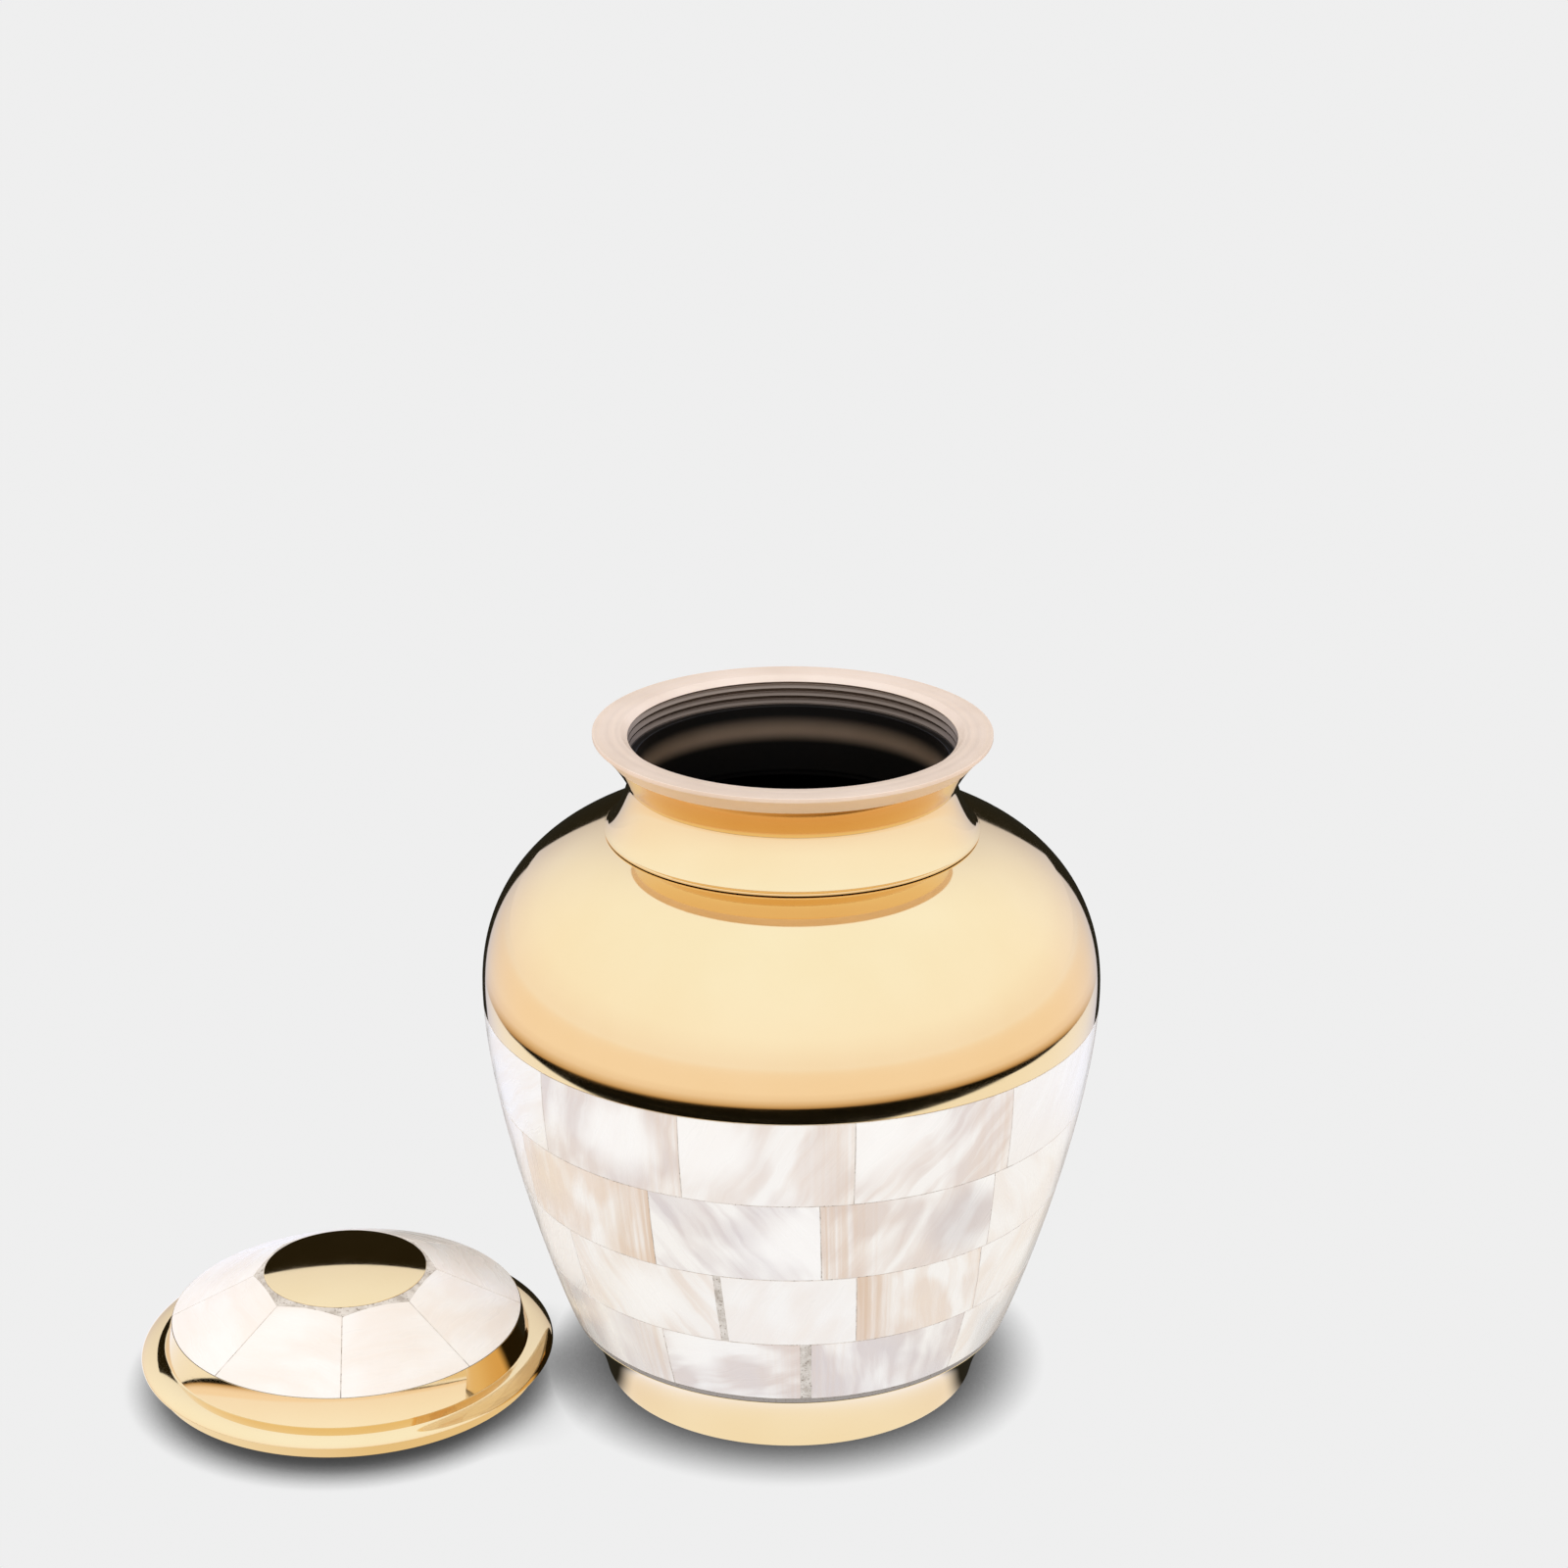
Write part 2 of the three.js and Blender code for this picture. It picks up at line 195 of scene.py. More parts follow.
WIDE_JOINTS = {(3, 2): 2.3, (4, 2): 3.3}

# What sets one tile's chance apart from another's: its seed, how far that moves the hand cut's noise, and how
# far and within what span it moves the shell's pattern, in mm.
COURSE_SEEDS = 20
LID_SEEDS = 100
HAND_CUT_REACH = 0.08
HAND_CUT_WAVES = 0.3
HAND_CUT_STRIDE = 7.31
SHELL_STRIDE = (37.1, 61.7)
SHELL_SPAN = (211, 173)

# The lid, heights above the surface it lies on, in mm. The crests of its thread are shares of the spigot's
# height, each as wide as the ridge, with a flank above.
LID_PLACE = (-135.1, -15, 0)
SPIGOT_RADIUS = 48
SPIGOT_INNER_RADIUS = 45.5
SPIGOT_HEIGHT = 5.6
SPIGOT_THREAD_DEPTH = 1.0
SPIGOT_CRESTS = (0.12, 0.56)
SPIGOT_RIDGE = 0.08
SPIGOT_FLANK = 0.3
SEAT_RADIUS = 59
SEAT_TOP = 8.8
SEAT_FLOOR = 8.0
FLANGE_RADIUS = 62.6
FLANGE_EDGE_HEIGHT = 10.4
CREASE_RADIUS = 55.1
CREASE_HEIGHT = 13.2
CREASE_WALL = 1.8
LID_MOSAIC_RADIUS = 53
LID_MOSAIC_HEIGHT = 21.7
DISC_RADIUS = 24.6
DISC_HEIGHT = 36
DISC_RISE = 1.6
LID_WALL = 4.0
LID_BED_INNER_GAP = 0.02
LID_BED_OUTER_GAP = 0.1
LID_TILES = 8
LID_JOINT_AZIMUTH = 5
LID_TILE_CHORD = 25.7

# Finishes, as (place, colour) stops along a pattern. Heights are in metres.
BRASS_TONES = [(0.3, (0.835, 0.59, 0.27)), (0.7, (0.85, 0.615, 0.295))]
SATIN_TONES = [(0.3, (0.80, 0.61, 0.43)), (0.5, (0.87, 0.68, 0.49)), (0.7, (0.92, 0.73, 0.54))]
TARNISH_TONES = [(0.3, (0.012, 0.010, 0.007)), (0.7, (0.03, 0.024, 0.018))]
# The paler tone of the painted reflection round the bore.
BORE_REFLECTION_BAND_TONE = (0.6, 0.42, 0.27, 1)
# Painted shade on the thread: its tones from darkest to lightest, the height it lightens from, and how fast,
# per metre.
THREAD_SHADE_TONES = [(0.0, (0.17, 0.12, 0.078)), (0.55, (0.22, 0.155, 0.1)), (1.0, (0.34, 0.245, 0.16))]
THREAD_SHADE_START = 0.1966
THREAD_SHADE_CHANGE = 140.0
GROUT_TONES = [(0.3, (0.50, 0.45, 0.40)), (0.6, (0.78, 0.74, 0.70))]
# Painted shade of the grout line below the mosaic, and the heights where it fades out.
GROUT_LINE_SHADE_TONE = (0.36, 0.33, 0.31, 1)
GROUT_LINE_SHADE_CHANGE = (0.0232, 0.0222)
GROUT_SPECK_TONE = (0.22, 0.17, 0.13, 1)
PEARL_WHITE = (0.965, 0.95, 0.935, 1)
PEARL_LILAC = (0.73, 0.68, 0.69, 1)
PEARL_CREAM = (0.89, 0.77, 0.67, 1)
PEARL_TAN = (0.74, 0.56, 0.42, 1)
# A painted sheen patch and a painted shade patch on a tile, each as (colour, strength).
PAINTED_PEARL_PATCHES = {"bright": ((1, 0.99, 0.98, 1), 0.9), "shade": ((0.62, 0.58, 0.60, 1), 0.5)}
PEARL_GLOSS = {"Coat Weight": 0.12, "Coat Roughness": 0.1, "Specular IOR Level": 0.35}
PEARL_WARP = 6
TAN_REACH = 0.42


def look(toned, warm, streaks=0.35, slant=60, tan=(0, 0), bright=None, shade=None):
    """What sets one tile's shell apart.

    How toned it is, from 0, white, to 1; its warmth from lilac, 0, to cream, 1; its streaks and their slant
    in degrees; tan stripes at its left and right end; and a bright patch of painted sheen and a patch of
    painted shade, each given by (across, up, reach) as shares of the tile.
    """
    return {
        "toned": toned,
        "warm": warm,
        "streaks": streaks,
        "slant": slant,
        "tan": tan,
        "bright": bright,
        "shade": shade,
    }


PLAIN_LOOK = look(0.5, 0.5)
LID_LOOK = look(0.35, 1.0, streaks=0.2, slant=5)
TILE_LOOKS = {
    "c1_11": look(0.25, 0.9, streaks=0.6, slant=35),
    "c1_01": look(0.75, 0.35, slant=80, tan=(0, 0.45), bright=(0.62, 0.62, 0.35)),
    "c1_02": look(0.6, 0.55, slant=60, tan=(0, 0.4), bright=(0.12, 0.75, 0.45)),
    "c1_03": look(0.65, 0.5, streaks=0.6, slant=45, tan=(0, 0.35), bright=(0.1, 0.85, 0.45)),
    "c1_04": look(0.2, 0.5),
    "c2_11": look(0.4, 0.7),
    "c2_01": look(0.8, 0.85, slant=88, tan=(0, 1.0)),
    "c2_02": look(0.6, 0.15, streaks=0.5, slant=125, bright=(0.9, 0.5, 0.35)),
    "c2_03": look(0.8, 0.45, tan=(0.9, 0), bright=(0.98, 0.98, 0.2), shade=(0.8, 0.5, 0.3)),
    "c2_04": look(0.35, 0.8, slant=120),
    "c3_11": look(0.05, 0.5, streaks=0.1),
    "c3_01": look(0.45, 0.75, streaks=0.7, slant=120, bright=(0.55, 0.5, 0.3)),
    "c3_02": look(0.3, 0.75, streaks=0.2),
    "c3_03": look(0.75, 0.8, streaks=0.5, slant=90, tan=(1.0, 0)),
    "c3_04": look(0.4, 0.85, streaks=0.5, slant=60),
    "c4_11": look(0.5, 0.15, slant=95, tan=(0, 0.5)),
    "c4_01": look(0.85, 0.3, slant=15, tan=(0, 0.35), bright=(0.2, 0.75, 0.3)),
    "c4_02": look(0.75, 0.2, slant=95, tan=(0.3, 0)),
    "c4_03": look(0.45, 0.85),
}


def add_node(tree, kind, sockets=None, **settings):
    """A node of a tree, its settings made and each named socket linked or given its value."""
    made = tree.nodes.new(kind)
    for setting, value in settings.items():
        setattr(made, setting, value)
    for socket, value in (sockets or {}).items():
        if isinstance(value, bpy.types.NodeSocket):
            tree.links.new(value, made.inputs[socket])
        else:
            made.inputs[socket].default_value = value
    return made


def math_node(tree, operation, first, second=0.0, third=0.0, clamp=False):
    sockets = {0: first, 1: second, 2: third}
    return add_node(tree, "ShaderNodeMath", sockets, operation=operation, use_clamp=clamp).outputs[0]


def mix_colours(tree, share, first, second):
    """The second colour laid over the first by a share."""
    mix = add_node(tree, "ShaderNodeMix", {0: share, 6: first, 7: second}, data_type="RGBA")
    return mix.outputs[2]


def multiplied(tree, colour, tint):
    mix = add_node(tree, "ShaderNodeMix", {0: 1.0, 6: colour, 7: (*tint, 1)}, data_type="RGBA")
    mix.blend_type = "MULTIPLY"
    return mix.outputs[2]


def ramp(tree, value, stops):
    """Colours along a value, as (place, colour) stops."""
    made = add_node(tree, "ShaderNodeValToRGB", {0: value})
    elements = made.color_ramp.elements
    elements[0].position, elements[0].color = stops[0][0], (*stops[0][1], 1)
    elements[1].position, elements[1].color = stops[-1][0], (*stops[-1][1], 1)
    for place, colour in stops[1:-1]:
        elements.new(place).color = (*colour, 1)
    return made.outputs[0]


def grey_ramp(tree, value, stops):
    """Levels along a value, as (place, level) stops."""
    return ramp(tree, value, [(place, (level,) * 3) for place, level in stops])


def rising(tree, value, low, high):
    """0 below one value, 1 above another, and smooth between them."""
    sockets = {0: value, 1: low, 2: high}
    return add_node(tree, "ShaderNodeMapRange", sockets, interpolation_type="SMOOTHSTEP").outputs[0]


def noise_node(tree, vector, scale=1, detail=2.0, roughness=0.5, distortion=0.0):
    sockets = {"Vector": vector, "Scale": scale, "Detail": detail, "Roughness": roughness}
    sockets["Distortion"] = distortion
    return add_node(tree, "ShaderNodeTexNoise", sockets).outputs[0]


def mapped(tree, vector, location=(0, 0, 0), turn=0.0, scale=(1, 1, 1)):
    """Coordinates shifted, then turned about Z, then scaled."""
    for change in ({"Location": location}, {"Rotation": (0, 0, turn)}, {"Scale": scale}):
        vector = add_node(tree, "ShaderNodeMapping", {"Vector": vector, **change}).outputs[0]
    return vector


def split(tree, vector):
    """The three parts of a vector."""
    return add_node(tree, "ShaderNodeSeparateXYZ", {0: vector}).outputs


def length_of(tree, vector):
    return add_node(tree, "ShaderNodeVectorMath", {0: vector}, operation="LENGTH").outputs["Value"]


def distance_from(tree, coordinates, centre):
    return length_of(tree, mapped(tree, coordinates, location=(-centre[0], -centre[1], 0)))


def object_coordinates(tree):
    return add_node(tree, "ShaderNodeTexCoord").outputs["Object"]


def empty_material(name):
    material = bpy.data.materials.new(name)
    material.use_nodes = True
    material.node_tree.nodes.clear()
    return material, material.node_tree


def shader_material(name, sockets):
    """A material of one Principled shader with the values of its sockets, its patterns still to be made."""
    material, tree = empty_material(name)
    shader = add_node(tree, "ShaderNodeBsdfPrincipled", sockets)
    add_node(tree, "ShaderNodeOutputMaterial", {"Surface": shader.outputs[0]})
    return material, tree, shader


def finish_surface(tree, shader, colour, roughness=None, relief=None):
    """Links a shader's colour and roughness, and its relief as (pattern, strength, distance in metres)."""
    tree.links.new(colour, shader.inputs["Base Color"])
    if roughness:
        tree.links.new(roughness, shader.inputs["Roughness"])
    if relief:
        pattern, strength, distance = relief
        sockets = {"Strength": strength, "Distance": distance, "Height": pattern}
        bump = add_node(tree, "ShaderNodeBump", sockets)
        tree.links.new(bump.outputs[0], shader.inputs["Normal"])


def on_curve(points, place):
    """The point of a Bezier curve at a place from 0 to 1."""
    points = [Vector(point) for point in points]
    while len(points) > 1:
        points = [a.lerp(b, place) for a, b in zip(points, points[1:])]
    return points[0]


def inward(points, place, depth):
    """The point of a rising curve at a place, moved into the wall by a depth."""
    step = 1e-4
    along = on_curve(points, place + step) - on_curve(points, place - step)
    along.normalize()
    return on_curve(points, place) - Vector((along.y, -along.x)) * depth


def row(points, start, end, count, depth=0.0):
    """Points along a curve from one place to another, all at one depth."""
    return [inward(points, start + (end - start) * i / count, depth) for i in range(count + 1)]


def belly_place(height):
    """The place on the belly's curve that has a height."""
    low, high = 0.0, 1.0
    for _ in range(40):
        middle = (low + high) / 2
        if on_curve(BELLY, middle).y < height:
            low = middle
        else:
            high = middle
    return low


def on_slope(radius, depth=0.0):
    """The point of the lid's sloping face at a radius, moved into the lid by a depth."""
    foot = Vector((LID_MOSAIC_RADIUS, LID_MOSAIC_HEIGHT))
    along = Vector((DISC_RADIUS, DISC_HEIGHT)) - foot
    along.normalize()
    return foot + along * (radius - LID_MOSAIC_RADIUS) / along.x - Vector((along.y, -along.x)) * depth


def quarter_round(corner, reach, rise, count):
    """A quarter of an ellipse, from its outermost point up and in."""
    angles = [math.pi / 2 * i / count for i in range(count + 1)]
    return [Vector((corner[0] + reach * math.cos(a), corner[1] + rise * math.sin(a))) for a in angles]


def link_piece(name, bm, materials, replaced):
    """Makes the finished mesh a piece that stands for CAD nodes and rides with them."""
    mesh = bpy.data.meshes.new(name)
    bm.to_mesh(mesh)
    bm.free()
    for material in materials:
        mesh.materials.append(material)
    mesh.shade_smooth()
    mesh.set_sharp_from_angle(angle=math.radians(SHARP_ANGLE))
    piece = bpy.data.objects.new(name, mesh)
    bpy.context.scene.collection.objects.link(piece)
    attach(piece, "root")
    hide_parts(*replaced)
    return piece


def draw_outline(bm, points):
    """The edges of an outline given as (radius, height) in mm, standing at the front of the axis."""
    verts = [bm.verts.new((0, -point[0] * MM, point[1] * MM)) for point in points]
    return verts + [bm.edges.new(pair) for pair in zip(verts, verts[1:])]


def spin_parts(bm, parts):
    """Spins each stretch of an outline once round Z, its faces in that stretch's material."""
    for index, points in enumerate(parts):
        outline = draw_outline(bm, points)
        before = set(bm.faces)
        bmesh.ops.spin(
            bm,
            geom=outline,
            cent=(0, 0, 0),
            axis=(0, 0, 1),
            angle=math.tau,
            steps=ROUND_STEPS,
            use_merge=True,
        )
        for face in bm.faces:
            if face not in before:
                face.material_index = index
    bmesh.ops.remove_doubles(bm, verts=bm.verts, dist=TURNED_MERGE * MM)
    bmesh.ops.recalc_face_normals(bm, faces=bm.faces)


def soften_edges(bm, width):
    """Rounds the sharp edges of a piece a little, by a width in mm, as polishing does."""
    angle = math.radians(ROUNDED_ANGLE)
    sharp = [edge for edge in bm.edges if len(edge.link_faces) == 2 and edge.calc_face_angle() > angle]
    bmesh.ops.bevel(
        bm,
        geom=sharp,
        offset=width * MM,
        offset_type="OFFSET",
        segments=EDGE_SEGMENTS,
        profile=0.5,
        affect="EDGES",
        material=-1,
    )


def turned(name, parts, materials, replaced, place=(0, 0, 0), edge_width=TURNED_EDGE):
    """A piece of revolution about a vertical axis at a place in mm."""
    bm = bmesh.new()
    spin_parts(bm, parts)
    soften_edges(bm, edge_width)
    bmesh.ops.translate(bm, verts=bm.verts, vec=Vector(place) * MM)
    return link_piece(name, bm, materials, replaced)


def polished_brass():
    """Mirror polished brass: faint buffing marks and the slightest waviness from spinning."""
    material, tree, shader = shader_material("polished brass", {"Metallic": 1.0})
    coordinates = object_coordinates(tree)
    clouds = noise_node(tree, coordinates, scale=28, detail=3)
    buffing = noise_node(tree, mapped(tree, coordinates, scale=(60, 60, 900)), detail=3)
    waves = noise_node(tree, mapped(tree, coordinates, scale=(9, 9, 30)), detail=1)
    colour = ramp(tree, clouds, BRASS_TONES)
    roughness = grey_ramp(tree, buffing, [(0.3, 0.035), (0.75, 0.075)])
    finish_surface(tree, shader, colour, roughness, (waves, 0.25, 0.00025))
    return material


def satin_brass_finish():
    """Brass turned on the lathe and left satin: pinkish beige with fine grooves round the axis."""
    material, tree, shader = shader_material("satin brass", {"Metallic": 0.6})
    coordinates = object_coordinates(tree)
    clouds = noise_node(tree, coordinates, scale=22, detail=4, roughness=0.6)
    radius = length_of(tree, coordinates)
    rings = add_node(tree, "ShaderNodeTexNoise", {"W": radius, "Scale": 2600}, noise_dimensions="1D")
    colour = ramp(tree, clouds, SATIN_TONES)
    roughness = grey_ramp(tree, rings.outputs[0], [(0.3, 0.42), (0.7, 0.55)])
    finish_surface(tree, shader, colour, roughness, (rings.outputs[0], 0.3, 0.00003))
    return material


def tarnish_and_reflection_brass_finish():
    """The unpolished inside: brown-black tarnish, with a paler band of painted reflection round the bore of
    the neck.
    """
    material, tree, shader = shader_material("tarnished brass with painted reflection", {"Metallic": 0.8})
    coordinates = object_coordinates(tree)
    clouds = noise_node(tree, coordinates, scale=35, detail=4, roughness=0.6)
    height = split(tree, coordinates)[2]
    # Painted reflection: a paler band on the bore, between these heights.
    low, middle, high = BORE_REFLECTION_BAND
    below = rising(tree, height, low, middle)
    above = rising(tree, height, high, middle)
    band = math_node(tree, "MULTIPLY", below, above)
    colour = mix_colours(tree, band, ramp(tree, clouds, TARNISH_TONES), BORE_REFLECTION_BAND_TONE)
    finish_surface(tree, shader, colour, grey_ramp(tree, clouds, [(0.3, 0.5), (0.7, 0.38)]))
    return material


def thread_shade_brass_finish():
    """The cut thread: brass darkened to grey-brown by painted shade, and darker still lower down."""
    material, tree, shader = shader_material("thread brass in painted shade", {"Metallic": 1.0, "Roughness": 0.38})
    coordinates = object_coordinates(tree)
    height = split(tree, coordinates)[2]
    clouds = noise_node(tree, coordinates, scale=60, detail=3)
    # Painted shade: the thread grows darker lower down the neck.
    level = math_node(tree, "MULTIPLY_ADD", clouds, 0.0008, height)
    share = math_node(tree, "MULTIPLY_ADD", level, THREAD_SHADE_CHANGE, -THREAD_SHADE_CHANGE * THREAD_SHADE_START, clamp=True)
    finish_surface(tree, shader, ramp(tree, share, THREAD_SHADE_TONES))
    return material


def grout_finish():
    """Cement grout: light grey, pocked and speckled with brown, with painted shade darkening the line below
    the mosaic.
    """
    material, tree, shader = shader_material("grout", {"Roughness": 0.9})
    coordinates = object_coordinates(tree)
    clouds = noise_node(tree, coordinates, scale=260, detail=3, roughness=0.6)
    specks = noise_node(tree, coordinates, scale=1500, detail=2, roughness=0.7)
    # Painted shade: the grout line under the lowest course is darker.
    in_shaded_line = rising(tree, split(tree, coordinates)[2], *GROUT_LINE_SHADE_CHANGE)
    colour = mix_colours(tree, in_shaded_line, ramp(tree, clouds, GROUT_TONES), GROUT_LINE_SHADE_TONE)
    colour = mix_colours(tree, rising(tree, specks, 0.58, 0.68), colour, GROUT_SPECK_TONE)
    finish_surface(tree, shader, colour, relief=(clouds, 0.6, 0.0001))
    return material


def shell_clouds(tree, own, streaks, shell):
    """Clouds and growth streaks of one lilac or cream tone on the white of the shell."""
    slant = math.radians(shell["slant"])
    clouds = mapped(tree, own, turn=-slant, scale=(0.045, 0.09, 1))
    clouds = noise_node(tree, clouds, detail=2, roughness=0.4, distortion=0.35)
    toned = math_node(tree, "MULTIPLY", rising(tree, clouds, 0.3, 0.62), 0.5 + 0.5 * shell["toned"])
    streaked = rising(tree, streaks, 0.4, 0.65)
    streaked = math_node(tree, "MULTIPLY_ADD", streaked, shell["streaks"], -shell["streaks"] / 2)
    toned = math_node(tree, "ADD", toned, streaked)
    toned = math_node(tree, "MULTIPLY", toned, 1.6 * shell["toned"], clamp=True)
    warmth = noise_node(tree, own, scale=0.06, detail=2)
    warmth = math_node(tree, "MULTIPLY_ADD", warmth, 0.8, shell["warm"] - 0.4, clamp=True)
    tone = mix_colours(tree, warmth, PEARL_LILAC, PEARL_CREAM)
    return mix_colours(tree, toned, PEARL_WHITE, tone)


def shell_stripes(tree, growth, own, width, shell, colour):
    """Tan stripes that crowd towards the ends of the tile."""
    across = split(tree, mapped(tree, growth, scale=(1 / width, 1, 1)))[0]
    stripes = noise_node(tree, mapped(tree, own, scale=(0.55, 0.012, 1)), detail=2)
    for end, strength in enumerate(shell["tan"]):
        if strength:
            near = rising(tree, across, abs(end - TAN_REACH), end)
            share = math_node(tree, "MULTIPLY", near, rising(tree, stripes, 0.25, 0.7))
            share = math_node(tree, "MULTIPLY", share, strength)
            colour = mix_colours(tree, share, colour, PEARL_TAN)
    return colour


def painted_sheen_and_shade(tree, bent_growth, width, height, shell, colour):
    """The patch of painted sheen and the patch of painted shade, their centres moved as the warp moves the
    pattern on average.
    """
    # Painted sheen and painted shade, laid over the shell's colour.
    for patch, (patch_colour, strength) in PAINTED_PEARL_PATCHES.items():
        if shell[patch]:
            u, v, reach = shell[patch]
            place = (-u * width - PEARL_WARP / 2, -v * height - PEARL_WARP / 2, 0)
            scale = (1 / (reach * width), 1 / (reach * width), 1)
            centred = mapped(tree, bent_growth, location=place, scale=scale)
            spot = add_node(tree, "ShaderNodeTexGradient", {0: centred}, gradient_type="SPHERICAL")
            share = math_node(tree, "MULTIPLY", rising(tree, spot.outputs[1], 0.0, 0.7), strength)
            colour = mix_colours(tree, share, colour, patch_colour)
    return colour


def pearl_finish(name, seed, width, height, shell):
    """Mother-of-pearl of one tile of a width and height in mm, after its look."""
    material, tree, shader = shader_material(name, PEARL_GLOSS)
    growth = add_node(tree, "ShaderNodeUVMap", uv_map="growth").outputs[0]
    shift = [seed * stride % span for stride, span in zip(SHELL_STRIDE, SHELL_SPAN)]
    own = mapped(tree, growth, location=(*shift, 0))
    bent = add_node(tree, "ShaderNodeTexNoise", {"Vector": own, "Scale": 0.07, "Detail": 2})
    sockets = {0: bent.outputs["Color"], 1: (PEARL_WARP, PEARL_WARP, 0)}
    warp = add_node(tree, "ShaderNodeVectorMath", sockets, operation="MULTIPLY").outputs[0]
    bent_growth = add_node(tree, "ShaderNodeVectorMath", {0: growth, 1: warp}).outputs[0]
    bent_own = add_node(tree, "ShaderNodeVectorMath", {0: own, 1: warp}).outputs[0]
    along = mapped(tree, bent_own, turn=-math.radians(shell["slant"]), scale=(0.022, 0.26, 1))
    streaks = noise_node(tree, along, detail=3)
    colour = shell_clouds(tree, own, streaks, shell)
    colour = shell_stripes(tree, growth, own, width, shell, colour)
    colour = painted_sheen_and_shade(tree, bent_growth, width, height, shell, colour)
    roughness = grey_ramp(tree, streaks, [(0.3, 0.22), (0.7, 0.36)])
    finish_surface(tree, shader, colour, roughness, (streaks, 0.08, 0.00004))
    return material


brass = polished_brass()
satin_brass = satin_brass_finish()
tarnish_and_reflection_brass = tarnish_and_reflection_brass_finish()
thread_shade_brass = thread_shade_brass_finish()
grout = grout_finish()


def vessel():
    """The brass vessel: foot, recess behind the mosaic, shoulder, and its tarnished inside."""
    mosaic_top = belly_place(COURSES[0]["top"] + RECESS_TOP_GAP)
    outside = [Vector((0, 0)), *row(FOOT, 0, 1, FOOT_ROWS)]
    outside += row(BELLY, 0, mosaic_top, RECESS_ROWS, RECESS_DEPTH)
    outside += row(BELLY, mosaic_top, 1, BORDER_ROWS) + row(SHOULDER, 0, 1, SHOULDER_ROWS)[1:]
    inside = [on_curve(SHOULDER, 1)]
    inside += row(SHOULDER, 1, INNER_SHOULDER_START, INNER_SHOULDER_ROWS, SHOULDER_WALL)
    inside += row(BELLY, mosaic_top, 0, RECESS_ROWS, BELLY_WALL)
    inside += [(INNER_FLOOR_RADIUS, FLOOR_THICKNESS), (0, FLOOR_THICKNESS)]
    turned("brass_vessel", [outside, inside], [brass, tarnish_and_reflection_brass], ["urn_body"])


def collar():
    """The collar: bell and neck polished, the rim's top satin, the thread in painted shade, the bore
    tarnished with a band of painted reflection.
    """
    seat = [(NECK_OPENING_RADIUS, BORE_BOTTOM), (BELL[0][0], BELL_SEAT)]
    outside = seat + row(BELL, 0, 1, BELL_ROWS) + row(CAVETTO, 0, LIP_START, CAVETTO_ROWS)[1:]
    top = row(CAVETTO, LIP_START, 1, LIP_ROWS) + [(RIM_RADIUS, RIM_TOP), (RIM_INNER_RADIUS, RIM_TOP)]
    top += [(CHAMFER_RADIUS, CHAMFER_BOTTOM)]
    thread = [(CHAMFER_RADIUS, CHAMFER_BOTTOM)]
    root = CHAMFER_RADIUS + THREAD_DEPTH
    for turn in range(THREAD_TURNS):
        crest = CHAMFER_BOTTOM - turn * THREAD_PITCH
        cut, cut_end, rise = (crest - THREAD_PITCH * share for share in THREAD_FLANKS)
        thread += [(root, cut), (root, cut_end)]
        thread += [(CHAMFER_RADIUS, rise), (CHAMFER_RADIUS, crest - THREAD_PITCH)]
    bore = [thread[-1], (BORE_RADIUS, thread[-1][1])]
    bore += [(BORE_RADIUS, BORE_ROW_TOP - BORE_ROW_STEP * i) for i in range(BORE_ROWS)]
    bore += [(BORE_RADIUS, BORE_BOTTOM), (NECK_OPENING_RADIUS, BORE_BOTTOM)]
    parts = [outside, top, thread, bore]
    materials = [brass, satin_brass, thread_shade_brass, tarnish_and_reflection_brass]
    turned("neck_collar_brass", parts, materials, ["neck_collar"])


def mosaic_bed():
    """The grout behind the tiles, a hair below their face, and the line under the lowest course."""
    line_bottom, line_top = (belly_place(height) for height in GROUT_LINE)
    top = belly_place(COURSES[0]["top"] - BED_TOP_GAP)
    face = row(BELLY, line_bottom, line_top, GROUT_LINE_ROWS)
    face += row(BELLY, line_top, top, BED_FACE_ROWS, BED_DEPTH)
    back = row(BELLY, top, line_bottom, BED_BACK_ROWS, BED_BACK_DEPTH)
    turned("mosaic_bed", [face + back + face[:1]], [grout], ["body_grout"])


def joints_round(course):
    """A course's joints all the way round, those that aren't listed spaced evenly at the back."""
    joints = list(course["joints"])
    last = sum(joints[-1]) / 2
    first = sum(joints[0]) / 2 + 360
    unlisted = TILES_PER_COURSE - len(joints)
    for i in range(1, unlisted + 1):
        azimuth = last + (first - last) * i / (unlisted + 1)
        joints.append((azimuth, azimuth))
    return joints + [tuple(azimuth + 360 for azimuth in joints[0])]


def hand_cut(distance, seed):
    """How far a hand-cut edge strays at a distance along it, in mm."""
    return HAND_CUT_REACH * noise.noise(Vector((distance * HAND_CUT_WAVES, seed * HAND_CUT_STRIDE, 0.5)))


def sweep_patch(bm, points, angle):
    """The face of a tile: an outline swept by an angle round Z from the front."""
    outline = draw_outline(bm, points)
    bmesh.ops.spin(bm, geom=outline, cent=(0, 0, 0), axis=(0, 0, 1), angle=angle, steps=TILE_STEPS)
    bmesh.ops.remove_doubles(bm, verts=bm.verts, dist=TILE_MERGE * MM)


